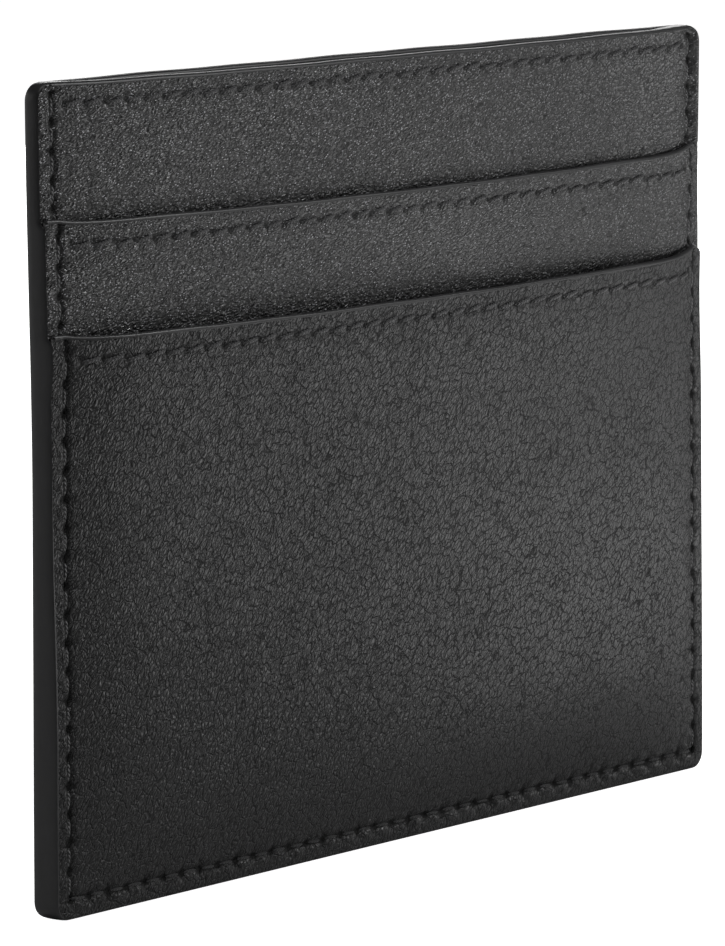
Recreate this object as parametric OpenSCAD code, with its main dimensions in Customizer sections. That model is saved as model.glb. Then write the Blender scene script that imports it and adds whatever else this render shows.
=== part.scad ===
// Card holder: a flat leather sleeve with a centre pocket and two stacked card pockets on its front.
// Millimetres. +X runs across the width, the front faces -Y, +Z points to the pocket mouths.
// The origin is in the middle of the bottom edge, halfway through the thickness.

/* [Body] */
// Width across both painted side edges
body_w = 100; // [92:1:112]
// Height from the painted bottom edge to the painted top edge
body_h = 75; // [66:1:84]
// Radius of the outline's corners
corner_r = 1.7; // [1.2:0.1:5]

/* [Pockets] */
// Height of the upper pocket's mouth above the bottom edge
upper_mouth_z = 62.4; // [54:0.1:64]
// Height of the lower pocket's mouth above the bottom edge
lower_mouth_z = 52.2; // [40:0.1:53]
// How far the upper pocket's leather strip runs down behind the lower pocket
strip_overlap = 6; // [4:0.5:14]
// Width of the cemented seam inside the closed sides of each pocket
seam_w = 4; // [3:0.5:6]

/* [Layers] */
// Thickness of the outer leather of the front and back panels
panel_t = 0.7; // [0.5:0.05:1]
// Thickness of the leather of the two front pockets
pocket_t = 0.4; // [0.35:0.05:0.8]
// Thickness of the lining fabric
lining_t = 0.1; // [0.1:0.05:0.3]
// Thickness of the paper stiffener behind the back panel
stiffener_t = 0.15; // [0.1:0.05:0.4]
// Thickness of one film of cement, which is also the gap of an empty pocket
cement_t = 0.05; // [0.05:0.05:0.3]
// Thickness of the paint on every cut edge
paint_t = 0.2; // [0.1:0.05:0.4]

/* [Stitching] */
// Distance from one stitch to the next
stitch_pitch = 2.6; // [2:0.1:4]
// Visible length of one stitch
stitch_l = 2; // [1.2:0.1:3]
// Diameter of the thread
thread_d = 0.4; // [0.3:0.05:0.7]
// Slant of a stitch to its seam, in degrees
stitch_slant = 9; // [0:1:20]
// Distance of the side seams from the outer edge
seam_inset = 1.8; // [1.2:0.1:3]
// Distance of the bottom seam from the bottom edge
bottom_inset = 1.9; // [1.2:0.1:3]
// Distance of each top row below its mouth
row_drop = 2; // [1.2:0.1:3]
// Width of the groove that a seam lies in
groove_w = 0.9; // [0.6:0.1:1.2]
// Depth of that groove, which is also how deep the thread is pulled in
groove_d = 0.2; // [0.1:0.05:0.3]

/* [Hidden] */
$fn = 64;
cut = 1;                                  // how far a cutting solid runs past what it cuts
leather_black = [0.11, 0.11, 0.12];
lining_black = [0.07, 0.07, 0.08];
paint_black = [0.16, 0.16, 0.17];
thread_black = [0.03, 0.03, 0.03];
stiffener_grey = [0.45, 0.43, 0.4];
cement_amber = [0.7, 0.62, 0.4];

// The layers in order from the back face to the front face, each by its back surface.
total_t = 2 * panel_t + stiffener_t + 2 * lining_t + cement_t            // the sleeve
        + cement_t + lining_t + pocket_t                                 // the upper pocket
        + cement_t + lining_t + pocket_t;                                // the lower pocket
back_panel_y = total_t / 2;
stiffener_y = back_panel_y - panel_t;
back_lining_y = stiffener_y - stiffener_t;
centre_gap_y = back_lining_y - lining_t;
front_lining_y = centre_gap_y - cement_t;
front_panel_y = front_lining_y - lining_t;
upper_gap_y = front_panel_y - panel_t;
tab_y = upper_gap_y - cement_t;
upper_pocket_y = tab_y - lining_t;
lower_gap_y = upper_pocket_y - pocket_t;
lower_lining_y = lower_gap_y - cement_t;
lower_pocket_y = lower_lining_y - lining_t;
front_y = lower_pocket_y - pocket_t;

// The row under a mouth ends short of the side seams by this much.
row_clear = 0.4 * stitch_pitch;
side_seam_x = body_w / 2 - seam_inset;
seam_top_z = body_h - groove_w;
strip_foot_z = lower_mouth_z - strip_overlap;
tab_foot_z = paint_t + seam_w / 2;

// ---- Outlines and layers ----

// The holder's outline in the X-Z plane, drawn as X-Y, pulled in by "inset" on every side.
module outline(inset = 0) {
    r = corner_r - inset;
    x = body_w / 2 - corner_r;
    union() {
        translate([-x, inset]) square([2 * x, body_h - 2 * inset]);
        translate([-body_w / 2 + inset, corner_r])
            square([body_w - 2 * inset, body_h - 2 * corner_r]);
        for (side = [-1, 1], z = [corner_r, body_h - corner_r])
            translate([side * x, z]) circle(r = r);
    }
}

// The part of the outline between two heights.
module outline_band(z_low, z_high, inset = 0) {
    intersection() {
        outline(inset);
        translate([-body_w, z_low]) square([2 * body_w, z_high - z_low]);
    }
}

// Stands a flat shape up as a layer whose back surface is at y_back.
module layer(y_back, thickness) {
    translate([0, y_back, 0]) rotate([90, 0, 0]) linear_extrude(thickness) children();
}

// ---- Seams ----

// A straight groove from one point to another on a surface at y, open towards "side".
module groove(x0, z0, x1, z1, y, side) {
    dx = x1 - x0;
    dz = z1 - z0;
    length = sqrt(dx * dx + dz * dz) + groove_w;
    translate([(x0 + x1) / 2, y + side * (cut - groove_d) / 2, (z0 + z1) / 2])
        rotate([0, -atan2(dz, dx), 0])
            cube([length, cut + groove_d, groove_w], center = true);
}

// One stitch: a short rounded bar, as deep as its groove, slanted to its seam.
module stitch(x, z, y_back, angle) {
    half = (stitch_l - thread_d) / 2;
    translate([x, y_back, z]) rotate([90, 0, 0]) rotate([0, 0, angle + stitch_slant])
        linear_extrude(groove_d) union() {
            square([2 * half, thread_d], center = true);
            translate([-half, 0]) circle(d = thread_d, $fn = 16);
            translate([half, 0]) circle(d = thread_d, $fn = 16);
        }
}

// A straight row of evenly spaced stitches between two points.
module stitch_row(x0, z0, x1, z1, y_back) {
    dx = x1 - x0;
    dz = z1 - z0;
    length = sqrt(dx * dx + dz * dz);
    count = max(1, round(length / stitch_pitch));
    for (i = [0 : count - 1]) {
        t = (i + 0.5) / count;
        stitch(x0 + dx * t, z0 + dz * t, y_back, atan2(dz, dx));
    }
}

// The grooves of both side seams between two heights, on a surface at y.
module seam_grooves(z_low, z_high, y, side) {
    for (x = [-side_seam_x, side_seam_x])
        groove(x, z_low, x, z_high, y, side);
}

// The groove of the row below a mouth, on a surface at y.
module row_groove(mouth_z, y, side) {
    x = side_seam_x - row_clear;
    groove(-x, mouth_z - row_drop, x, mouth_z - row_drop, y, side);
}

// The stitches of the row below a mouth.
module row_stitches(mouth_z, y_back) {
    x = side_seam_x - row_clear;
    stitch_row(-x, mouth_z - row_drop, x, mouth_z - row_drop, y_back);
}

// ---- Back of the sleeve ----

module back_panel() {
    color(leather_black) difference() {
        layer(back_panel_y, panel_t) outline_band(0, body_h - paint_t, paint_t);
        seam_grooves(bottom_inset, seam_top_z, back_panel_y, 1);
        groove(-side_seam_x, bottom_inset, side_seam_x, bottom_inset, back_panel_y, 1);
        row_groove(body_h, back_panel_y, 1);
    }
}

module back_stiffener() {
    color(stiffener_grey) layer(stiffener_y, stiffener_t) outline_band(0, body_h - paint_t, paint_t);
}

module back_lining() {
    color(lining_black) layer(back_lining_y, lining_t) outline_band(0, body_h - paint_t, paint_t);
}

// ---- Front of the sleeve ----

module front_lining() {
    color(lining_black) layer(front_lining_y, lining_t) outline_band(0, body_h - paint_t, paint_t);
}

module front_panel() {
    y = front_panel_y - panel_t;
    color(leather_black) difference() {
        layer(front_panel_y, panel_t) outline_band(0, body_h - paint_t, paint_t);
        seam_grooves(upper_mouth_z + groove_w / 2, seam_top_z, y, -1);
        row_groove(body_h, y, -1);
    }
}

// ---- Upper pocket: a leather strip on a fabric tab ----

module upper_pocket_tab() {
    color(lining_black) layer(tab_y, lining_t)
        outline_band(tab_foot_z, upper_mouth_z - paint_t, paint_t);
}

module upper_pocket() {
    y = upper_pocket_y - pocket_t;
    color(leather_black) difference() {
        layer(upper_pocket_y, pocket_t) outline_band(strip_foot_z, upper_mouth_z - paint_t, paint_t);
        seam_grooves(lower_mouth_z + groove_w / 2, upper_mouth_z, y, -1);
        row_groove(upper_mouth_z, y, -1);
    }
}

// ---- Lower pocket ----

module lower_pocket_lining() {
    color(lining_black) layer(lower_lining_y, lining_t)
        outline_band(0, lower_mouth_z - paint_t, paint_t);
}

module lower_pocket() {
    color(leather_black) difference() {
        layer(lower_pocket_y, pocket_t) outline_band(0, lower_mouth_z - paint_t, paint_t);
        seam_grooves(bottom_inset, lower_mouth_z, front_y, -1);
        groove(-side_seam_x, bottom_inset, side_seam_x, bottom_inset, front_y, -1);
        row_groove(lower_mouth_z, front_y, -1);
    }
}

// ---- Cement and filler along the closed sides of the pockets ----

// A U along both sides and the bottom, as wide as the seam, between two heights.
module seam_u(z_low, z_high) {
    difference() {
        outline_band(z_low, z_high, paint_t);
        translate([-body_w / 2 + paint_t + seam_w, z_low + seam_w])
            square([body_w - 2 * (paint_t + seam_w), body_h]);
    }
}

module centre_pocket_cement() {
    color(cement_amber) layer(centre_gap_y, cement_t) seam_u(paint_t, body_h - paint_t);
}

module upper_pocket_cement() {
    color(cement_amber) layer(upper_gap_y, cement_t)
        seam_u(tab_foot_z, upper_mouth_z - paint_t);
}

module lower_pocket_cement() {
    color(cement_amber) layer(lower_gap_y, cement_t)
        seam_u(paint_t, lower_mouth_z - paint_t);
}

// A leather strip round the seam that levels it below the upper pocket's own leather.
module seam_filler() {
    color(leather_black) layer(upper_pocket_y, pocket_t) seam_u(paint_t, strip_foot_z);
}

// ---- Paint on the cut edges ----

// The paint's ring round the outline, cut to one band of heights.
module paint_ring(z_low, z_high) {
    difference() {
        outline_band(z_low, z_high);
        outline(paint_t);
    }
}

// The painted side edge gets thicker in steps, at the mouth of each pocket.
module side_paint(side) {
    module half(z_low, z_high)
        intersection() {
            paint_ring(z_low, z_high);
            translate([side > 0 ? 0 : -body_w, 0]) square([body_w, body_h]);
        }
    union() {
        layer(back_panel_y, back_panel_y - upper_gap_y) half(upper_mouth_z, body_h - corner_r);
        layer(back_panel_y, back_panel_y - lower_gap_y) half(lower_mouth_z, upper_mouth_z);
        layer(back_panel_y, total_t) half(corner_r, lower_mouth_z);
    }
}

module edge_paint_left() { color(paint_black) side_paint(-1); }

module edge_paint_right() { color(paint_black) side_paint(1); }

// The bottom run takes in both lower corners.
module edge_paint_bottom() {
    color(paint_black) layer(back_panel_y, total_t) paint_ring(0, corner_r);
}

// The paint along a mouth, over the layers from y_back to y_front.
module mouth_paint(mouth_z, y_back, y_front) {
    layer(y_back, y_back - y_front) outline_band(mouth_z - paint_t, mouth_z, paint_t);
}

// The top edge's paint also goes round its two rounded corners.
module top_paint(y_back, y_front) {
    layer(y_back, y_back - y_front) paint_ring(body_h - corner_r, body_h);
}

module back_mouth_paint() {
    color(paint_black) top_paint(back_panel_y, centre_gap_y);
}

module front_mouth_paint() {
    color(paint_black) top_paint(front_lining_y, upper_gap_y);
}

module upper_mouth_paint() {
    color(paint_black) mouth_paint(upper_mouth_z, tab_y, lower_gap_y);
}

module lower_mouth_paint() {
    color(paint_black) mouth_paint(lower_mouth_z, lower_lining_y, front_y);
}

// ---- Thread ----

// The side and bottom seam as it shows on the front, stepping out over each pocket's mouth.
module seam_thread_front() {
    y_lower = front_y + groove_d;
    y_upper = lower_gap_y + groove_d;
    y_panel = upper_gap_y + groove_d;
    color(thread_black) {
        for (x = [-side_seam_x, side_seam_x]) {
            stitch_row(x, bottom_inset, x, lower_mouth_z, y_lower);
            stitch_row(x, lower_mouth_z + groove_w / 2, x, upper_mouth_z, y_upper);
            stitch_row(x, upper_mouth_z + groove_w / 2, x, seam_top_z, y_panel);
        }
        stitch_row(-side_seam_x, bottom_inset, side_seam_x, bottom_inset, y_lower);
    }
}

// The same seam on the back, where nothing steps.
module seam_thread_back() {
    color(thread_black) {
        for (x = [-side_seam_x, side_seam_x])
            stitch_row(x, bottom_inset, x, seam_top_z, back_panel_y);
        stitch_row(-side_seam_x, bottom_inset, side_seam_x, bottom_inset, back_panel_y);
    }
}

module back_top_thread() { color(thread_black) row_stitches(body_h, back_panel_y); }

module front_top_thread() { color(thread_black) row_stitches(body_h, upper_gap_y + groove_d); }

module upper_pocket_thread() {
    color(thread_black) row_stitches(upper_mouth_z, lower_gap_y + groove_d);
}

module lower_pocket_thread() {
    color(thread_black) row_stitches(lower_mouth_z, front_y + groove_d);
}

back_panel();
back_stiffener();
back_lining();
front_lining();
front_panel();
upper_pocket_tab();
upper_pocket();
lower_pocket_lining();
lower_pocket();
centre_pocket_cement();
upper_pocket_cement();
lower_pocket_cement();
seam_filler();
edge_paint_left();
edge_paint_right();
edge_paint_bottom();
back_mouth_paint();
front_mouth_paint();
upper_mouth_paint();
lower_mouth_paint();
seam_thread_front();
seam_thread_back();
back_top_thread();
front_top_thread();
upper_pocket_thread();
lower_pocket_thread();
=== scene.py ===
"""Black leather card holder: leather panels, linings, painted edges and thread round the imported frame."""

import math

import bpy
import numpy as np
from mathutils import Matrix, Vector


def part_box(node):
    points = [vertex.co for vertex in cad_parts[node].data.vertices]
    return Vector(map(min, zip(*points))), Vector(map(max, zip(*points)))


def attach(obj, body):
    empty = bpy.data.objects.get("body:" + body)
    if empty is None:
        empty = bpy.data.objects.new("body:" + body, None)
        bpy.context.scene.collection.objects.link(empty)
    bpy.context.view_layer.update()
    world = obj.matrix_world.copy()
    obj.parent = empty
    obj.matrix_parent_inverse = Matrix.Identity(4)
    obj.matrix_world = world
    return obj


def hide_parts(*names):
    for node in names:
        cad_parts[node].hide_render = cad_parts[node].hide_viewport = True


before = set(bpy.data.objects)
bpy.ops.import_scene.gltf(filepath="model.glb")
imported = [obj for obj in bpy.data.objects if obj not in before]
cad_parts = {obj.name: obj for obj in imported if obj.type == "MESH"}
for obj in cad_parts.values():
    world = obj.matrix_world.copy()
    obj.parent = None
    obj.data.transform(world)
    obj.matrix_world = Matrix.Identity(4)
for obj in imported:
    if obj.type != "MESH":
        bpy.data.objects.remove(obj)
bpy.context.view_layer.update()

bl_info = {
    "name": "Stitched Card Holder",
    "version": (1, 0, 0),
    "blender": (4, 5, 0),
    "location": "3D View > Sidebar > Card Holder",
    "description": "Leather panels, linings, painted edges and thread of a card holder",
    "category": "Add Mesh",
}

MM = 0.001
BODY = "root"

# ---- Places taken from the frame ----

HALF_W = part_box("edge_paint_right")[1].x
TOP_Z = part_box("back_mouth_paint")[1].z
CORNER_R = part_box("edge_paint_bottom")[1].z
PAINT_T = HALF_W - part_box("back_panel")[1].x
UPPER_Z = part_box("upper_mouth_paint")[1].z
LOWER_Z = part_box("lower_mouth_paint")[1].z
ROW_NODES = ("front_top_thread", "back_top_thread", "upper_pocket_thread", "lower_pocket_thread")
ROW_Z = {node: sum(corner.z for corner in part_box(node)) / 2 for node in ROW_NODES}
ROW_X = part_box("lower_pocket_thread")[1].x


def faces_of(node):
    """A layer's front and back surface, each as a place along Y."""
    low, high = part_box(node)
    return low.y, high.y


PANEL_Y = faces_of("front_panel")[0]
UPPER_Y = faces_of("upper_pocket")[0]
LOWER_Y = faces_of("lower_pocket")[0]
BACK_Y = faces_of("back_panel")[1]
STRIP_FOOT_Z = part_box("upper_pocket")[0].z


# ---- Settings ----

def length(name, description, default, top=0.05):
    """A length property in metres."""
    return bpy.props.FloatProperty(
        name=name, description=description, default=default, min=0.0, max=top, precision=6,
        unit="LENGTH")


def share(name, description, default, top=1.0):
    """A plain number property."""
    return bpy.props.FloatProperty(
        name=name, description=description, default=default, min=0.0, max=top, precision=3)


def tint(name, description, default):
    """A colour property."""
    return bpy.props.FloatVectorProperty(
        name=name, description=description, default=default, min=0.0, max=1.0, size=3,
        subtype="COLOR")


class HolderShape(bpy.types.PropertyGroup):
    """How the soft layers swell, lean and stand off each other."""
    cell: length("Fine Cell", "Mesh cell along seams and mouths", 0.2 * MM)
    edge_round: length("Edge Rounding", "How far the painted side edge bulges out", 0.12 * MM)
    sleeve_swell: length("Sleeve Swell", "How far the front panel swells", 0.45 * MM)
    pocket_swell: length("Pocket Swell", "How far the lower pocket swells beyond it", 0.95 * MM)
    side_reach: length("Side Reach", "Distance in which the swell rises from a side seam", 7.5 * MM)
    foot_reach: length("Foot Reach", "Distance in which the swell rises from the bottom seam", 7 * MM)
    top_gap: length("Top Opening", "How far the front panel's top stands forward", 0.5 * MM)
    back_gap: length("Back Opening", "How far the back panel's top stands back", 0.35 * MM)
    mouth_gap: length("Mouth Opening", "How far a pocket's mouth stands off", 0.65 * MM)
    twist_left: length("Left Twist", "How far the top left corner leans back", 0.5 * MM)
    twist_right: length("Right Twist", "How far the top right corner leans forward", 0.5 * MM)
    foot_left: length("Left Foot", "How far the bottom left corner leans back", 0.24 * MM)
    foot_right: length("Right Foot", "How far the bottom right corner leans forward", 0.36 * MM)
    rise_left: length("Left Mouth Rise", "How far a mouth turns up at its left end", 0.3 * MM)
    rise_right: length("Right Mouth Rise", "How far a mouth turns up at its right end", 0.75 * MM)
    sag: length("Mouth Sag", "How far a mouth hangs lower in its middle", 0.25 * MM)
    pinch: length("Seam Pinch", "How far the left seam sinks below the upper pocket's strip", 0.33 * MM)
    skive_left: length("Left Skive", "How much thinner the leather gets at the left edge", 0.14 * MM)
    skive_right: length("Right Skive", "How much thinner the leather gets at the right edge", 0.3 * MM)
    flare_right: length("Right Flare", "How far a layer comes forward above a mouth", 0.22 * MM)
    paint_wrap: length("Paint Wrap", "How far the paint laps onto the front, low left", 0.2 * MM)


class SeamSizes(bpy.types.PropertyGroup):
    """Stitch and thread sizes."""
    side_inset: length("Side Inset", "Side seam's distance from the outer edge", 1.8 * MM)
    bottom_inset: length("Bottom Inset", "Bottom seam's distance from the bottom edge", 1.9 * MM)
    pitch: length("Stitch Pitch", "Distance from one hole to the next", 2.6 * MM)
    thread: length("Thread Diameter", "Diameter of the thread", 0.4 * MM)
    crown: length("Stitch Crown", "How far a stitch rises between its holes", 0.06 * MM)
    sink: length("Stitch Sink", "How far a stitch dives at its holes", 0.4 * MM)
    seam_step: length("Seam Slant", "Sideways step of one stitch of the seam", 0.12 * MM)
    row_step: length("Row Slant", "Sideways step of one stitch of a row", 0.5 * MM)
    trough: length("Seam Trough", "Depth of the groove along a seam", 0.19 * MM)
    hole: length("Hole Dent", "Depth of the dent at each hole", 0.17 * MM)
    ridge: length("Pucker", "Height of the swelling beside each stitch", 0.08 * MM)


class HolderFinish(bpy.types.PropertyGroup):
    """Colours and grain."""
    leather: tint("Leather", "Colour of the leather", (0.012, 0.012, 0.0125))
    paint: tint("Edge Paint", "Colour of the painted edges", (0.017, 0.017, 0.018))
    thread: tint("Thread", "Colour of the thread", (0.1, 0.1, 0.102))
    lining: tint("Lining", "Colour of the lining", (0.010, 0.010, 0.011))
    pebble: share("Pebble Size", "Grain pebble across, in millimetres", 0.34, 5.0)
    relief: length("Grain Relief", "Height of the grain", 0.135 * MM)
    leather_rough: share("Leather Roughness", "Roughness of the leather", 0.24)
    paint_rough: share("Paint Roughness", "Roughness of the painted edges", 0.4)


class StageSizes(bpy.types.PropertyGroup):
    """Camera and lights."""
    azimuth: bpy.props.FloatProperty(
        name="Azimuth", description="Camera's turn round the holder",
        default=math.radians(-52.27), subtype="ANGLE")
    elevation: bpy.props.FloatProperty(
        name="Elevation", description="Camera's height above the horizon",
        default=math.radians(7.61), subtype="ANGLE")
    roll: bpy.props.FloatProperty(
        name="Roll", description="Camera's roll", default=math.radians(-0.15), subtype="ANGLE")
    distance: length("Camera Distance", "From the camera to the point it looks at", 0.6164, 5.0)
    aim: bpy.props.FloatVectorProperty(
        name="Aim", description="Point that the camera looks at", size=3, subtype="XYZ",
        default=(-3.87 * MM, 0.0, 35.56 * MM))
    lens: bpy.props.FloatProperty(
        name="Lens", description="Focal length in millimetres on a 36 mm side", default=249.3)


class HolderSettings(bpy.types.PropertyGroup):
    """All settings of the card holder."""
    shape: bpy.props.PointerProperty(type=HolderShape)
    seams: bpy.props.PointerProperty(type=SeamSizes)
    finish: bpy.props.PointerProperty(type=HolderFinish)
    stage: bpy.props.PointerProperty(type=StageSizes)


def settings():
    """The scene's card holder settings."""
    return bpy.context.scene.card_holder


# ---- Form of the soft layers ----

def ease(low, high, value):
    """A smooth step from 0 at low to 1 at high."""
    t = np.clip((value - low) / (high - low), 0.0, 1.0)
    return t * t * (3.0 - 2.0 * t)


def half_width(z, inset):
    """Half the outline's width at a height, which narrows round the corners."""
    radius = CORNER_R - inset
    low = (CORNER_R - z) / radius
    high = (z - TOP_Z + CORNER_R) / radius
    depth = np.clip(np.maximum(low, high), 0.0, 1.0)
    return HALF_W - inset - radius * (1.0 - np.sqrt(1.0 - depth ** 2))


def seam_x():
    """Distance of the side seams from the middle."""
    return HALF_W - settings().seams.side_inset


def between_seams(x, power):
    """1 in the middle of the holder and 0 at and beyond the side seams."""
    return 1.0 - np.clip(np.abs(x) / seam_x(), 0.0, 1.0) ** power


def lean(x, z):
    """Y shift of the slight twist: the left corners lean back and the right corners forward."""
    shape = settings().shape
    twist_from, foot_until = 0.5 * TOP_Z, 0.65 * TOP_Z
    top = np.where(x < 0.0, shape.twist_left, shape.twist_right)
    foot = np.where(x < 0.0, shape.foot_left, shape.foot_right)
    top_part = ease(twist_from, TOP_Z, z)
    foot_part = 1.0 - ease(0.0, foot_until, z)
    return -(top * top_part + foot * foot_part) * (x / HALF_W)


def swell(x, z):
    """The pillow shape inside the seams, from 0 at a seam to 1."""
    shape = settings().shape
    inside_x = np.clip(seam_x() - np.abs(x), 0.0, None)
    inside_z = np.clip(z - settings().seams.bottom_inset, 0.0, None)
    return np.tanh(inside_x / shape.side_reach) * np.tanh(inside_z / shape.foot_reach)


def stand_off(x, z, mouth_z, amount):
    """How far a mouth stands off the layer behind it."""
    reach = 12 * MM
    return amount * between_seams(x, 6) * ease(mouth_z - reach, mouth_z, z)


def shift_back(x, z):
    """Y shift of the layers behind the centre pocket."""
    return lean(x, z) + stand_off(x, z, TOP_Z, settings().shape.back_gap)


def shift_sleeve(x, z):
    """Y shift of the front panel and its lining."""
    shape = settings().shape
    reach = 25 * MM
    opened = shape.top_gap * between_seams(x, 4) * ease(TOP_Z - reach, TOP_Z, z)
    return lean(x, z) - shape.sleeve_swell * swell(x, z) - opened


def shift_upper(x, z):
    """Y shift of the upper pocket and its tab."""
    return shift_sleeve(x, z) - stand_off(x, z, UPPER_Z, settings().shape.mouth_gap)


def seam_pinch(x, z):
    """How far the lower pocket's left seam sinks where only the filler lies under it."""
    fade, reach = 4 * MM, 5 * MM
    foot_from, foot_until = 0.2 * TOP_Z, 0.45 * TOP_Z
    below_strip = 1.0 - ease(STRIP_FOOT_Z, STRIP_FOOT_Z + fade, z)
    above_foot = ease(foot_from, foot_until, z)
    near_side = np.exp(-(np.clip(HALF_W + x, 0.0, None) / reach) ** 2)
    return settings().shape.pinch * below_strip * above_foot * near_side


def shift_filler(x, z):
    """Y shift of the filler's front face, which is pressed where the seam sinks."""
    return shift_upper(x, z) + seam_pinch(x, z)


def shift_lower(x, z):
    """Y shift of the lower pocket and its lining."""
    shape = settings().shape
    stand = stand_off(x, z, LOWER_Z, shape.mouth_gap)
    return shift_upper(x, z) - shape.pocket_swell * swell(x, z) - stand + seam_pinch(x, z)


def mouth_rise(x, z, mouth_z):
    """How far a pocket's mouth turns up at its two ends and hangs in its middle."""
    shape = settings().shape
    inside = np.clip(seam_x() - np.abs(x), 0.0, None)
    amount = np.where(x < 0.0, shape.rise_left, shape.rise_right)
    left_reach, right_reach, depth = 2.5 * MM, 3.2 * MM, 6 * MM
    reach = np.where(x < 0.0, left_reach, right_reach)
    near_mouth = ease(mouth_z - depth, mouth_z, z)
    hung = shape.sag * (2.0 * np.abs(x / HALF_W) ** 1.5 - 1.0)
    tucked = 1.0 - 0.9 * ease(seam_x(), HALF_W, x)
    return (amount * np.exp(-inside / reach * 1.6) * tucked + hung) * near_mouth


def top_drop(x, z, _mouth_z):
    """How far the front panel's top edge hangs below the back panel's."""
    drop, reach = 0.25 * MM, 4 * MM
    return -drop * between_seams(x, 4) * ease(TOP_Z - reach, TOP_Z, z)


def flat_mouth(x, _z, _mouth_z):
    """A mouth that stays level."""
    return np.zeros_like(x)


# ---- Marks that the stitches leave in the leather ----

def zigzag(along, run, step):
    """Sideways place of a slanted stitch's middle line, with a little wander from stitch to stitch."""
    count = max(1, round(run / settings().seams.pitch))
    phase = along / run * count
    share_in = phase - np.floor(phase)
    nth = np.floor(phase)
    slow, quick = 0.07 * MM, 0.05 * MM
    wander = slow * np.sin(nth * 2.4) + quick * np.sin(nth * 5.1 + 1.0)
    return step * (share_in - 0.5) + wander


def dented(across, along, run, step, groove_share=1.0, hole_share=1.0):
    """Depth of one straight seam's marks: a trough, a dent at each hole and a pucker beside it."""
    seams = settings().seams
    trough_width, hole_width, hole_length = 0.27 * MM, 0.36 * MM, 0.3 * MM
    pucker_place, pucker_width, end_fade = 0.6 * MM, 0.3 * MM, 0.4 * MM
    count = max(1, round(run / seams.pitch))
    pitch = run / count
    phase = along / pitch
    to_hole = np.abs(phase - np.round(phase)) * pitch
    inside = ease(-end_fade, 0.0, along) * (1.0 - ease(run, run + end_fade, along))
    off = across - zigzag(along, run, step)
    trough = groove_share * seams.trough * np.exp(-(off / trough_width) ** 2)
    near_hole = np.exp(-(across / hole_width) ** 2 - (to_hole / hole_length) ** 2)
    hole = hole_share * seams.hole * near_hole
    beside = np.exp(-((np.abs(off) - pucker_place) / pucker_width) ** 2)
    swell_size = seams.ridge * (1.0 + 0.5 * np.sin(np.round(phase) * 3.7))
    pucker = groove_share * swell_size * beside * np.cos(2.0 * math.pi * phase)
    return (trough + hole + pucker) * inside


def side_marks(x, z, low, high):
    """Marks of both side seams between two heights."""
    inset = settings().seams.bottom_inset
    run = seam_top() - inset
    marks = dented(np.abs(x) - seam_x(), z - inset, run, settings().seams.seam_step)
    return marks * (z > low) * (z < high)


def bottom_marks(x, z):
    """Marks of the bottom seam."""
    seams = settings().seams
    return dented(z - seams.bottom_inset, x + seam_x(), 2.0 * seam_x(), seams.seam_step)


def row_marks(x, z, row_z):
    """Marks of a row of slanted stitches under a mouth, fainter than a seam's."""
    groove_share, hole_share = 0.2, 0.85
    step = settings().seams.row_step
    return dented(z - row_z, x + ROW_X, 2.0 * ROW_X, step, groove_share, hole_share)


def seam_top():
    """Height at which the side seams end, just under the top edge."""
    short_of_top = 0.9 * MM
    return TOP_Z - short_of_top


def skive(x, z, layer):
    """How far a layer's front face falls back outside a side seam; on the right it comes forward
    just above the next mouth, so that the edge stays flush. Layer 0 is the panel."""
    shape = settings().shape
    depth_share = (0.0, 1.0, 1.1)[layer]
    flare_rise, flare_clear = 1.5 * MM, 2 * MM
    inner, outer, margin = -0.5 * MM, 1.4 * MM, 0.3 * MM
    right = depth_share * shape.skive_right * ease(0.5 * TOP_Z, 0.68 * TOP_Z, z)
    amount = np.where(x < 0.0, shape.skive_left, right)
    fallen = amount * ease(inner, outer, np.abs(x) - seam_x())
    beyond_seam = ease(seam_x() + margin, HALF_W - margin, x)
    if layer == 0:
        return fallen - shape.flare_right * beyond_seam * ease(UPPER_Z - flare_rise, UPPER_Z, z)
    if layer == 1:
        fading = 1.0 - ease(LOWER_Z, UPPER_Z - flare_clear, z)
        above = ease(LOWER_Z - flare_rise, LOWER_Z, z) * fading
        return fallen - shape.flare_right * beyond_seam * above
    return fallen


def edge_fall(x, z, inset, low_z):
    """How far a leather panel's surface falls away towards its painted edge."""
    to_side = half_width(z, inset) - np.abs(x)
    to_low = z - low_z
    depth, reach = 0.1 * MM, 0.25 * MM
    return depth * np.exp(-np.minimum(to_side, to_low) / reach)


# ---- Mesh building ----

def hang(name, mesh, nodes, slot):
    """Hangs a mesh on the holder's body and lets it stand for its CAD nodes."""
    piece = bpy.data.objects.new(name, mesh)
    bpy.context.scene.collection.objects.link(piece)
    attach(piece, BODY)
    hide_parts(*nodes)


def finish_piece(name, vertices, faces, material, nodes, slot, sharp=40.0, pressed=None):
    """Makes a piece's mesh and hangs it on the holder's body."""
    mesh = bpy.data.meshes.new(name)
    mesh.from_pydata(vertices, [], faces)
    if pressed is not None:
        mask = mesh.attributes.new("pressed", "FLOAT", "POINT")
        mask.data.foreach_set("value", pressed)
    mesh.validate()
    mesh.shade_smooth()
    mesh.set_sharp_from_angle(angle=math.radians(sharp))
    mesh.materials.append(material)
    hang(name, mesh, nodes, slot)


def sheet_rows(low, high, step):
    """Heights of a sheet's mesh rows, closer together round the outline's corners."""
    turn = np.linspace(0.0, math.pi / 2.0, 13)
    arc = 1.0 - np.cos(turn)
    start = low
    stop = high
    parts = []
    if low < CORNER_R:
        start = CORNER_R
        parts.append(low + (CORNER_R - low) * arc[:-1])
    if high > TOP_Z - CORNER_R:
        stop = TOP_Z - CORNER_R
    parts.append(np.linspace(start, stop, max(2, round((stop - start) / step) + 1)))
    if high > TOP_Z - CORNER_R:
        parts.append(high - (high - stop) * arc[:-1][::-1])
    return np.concatenate(parts)


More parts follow.
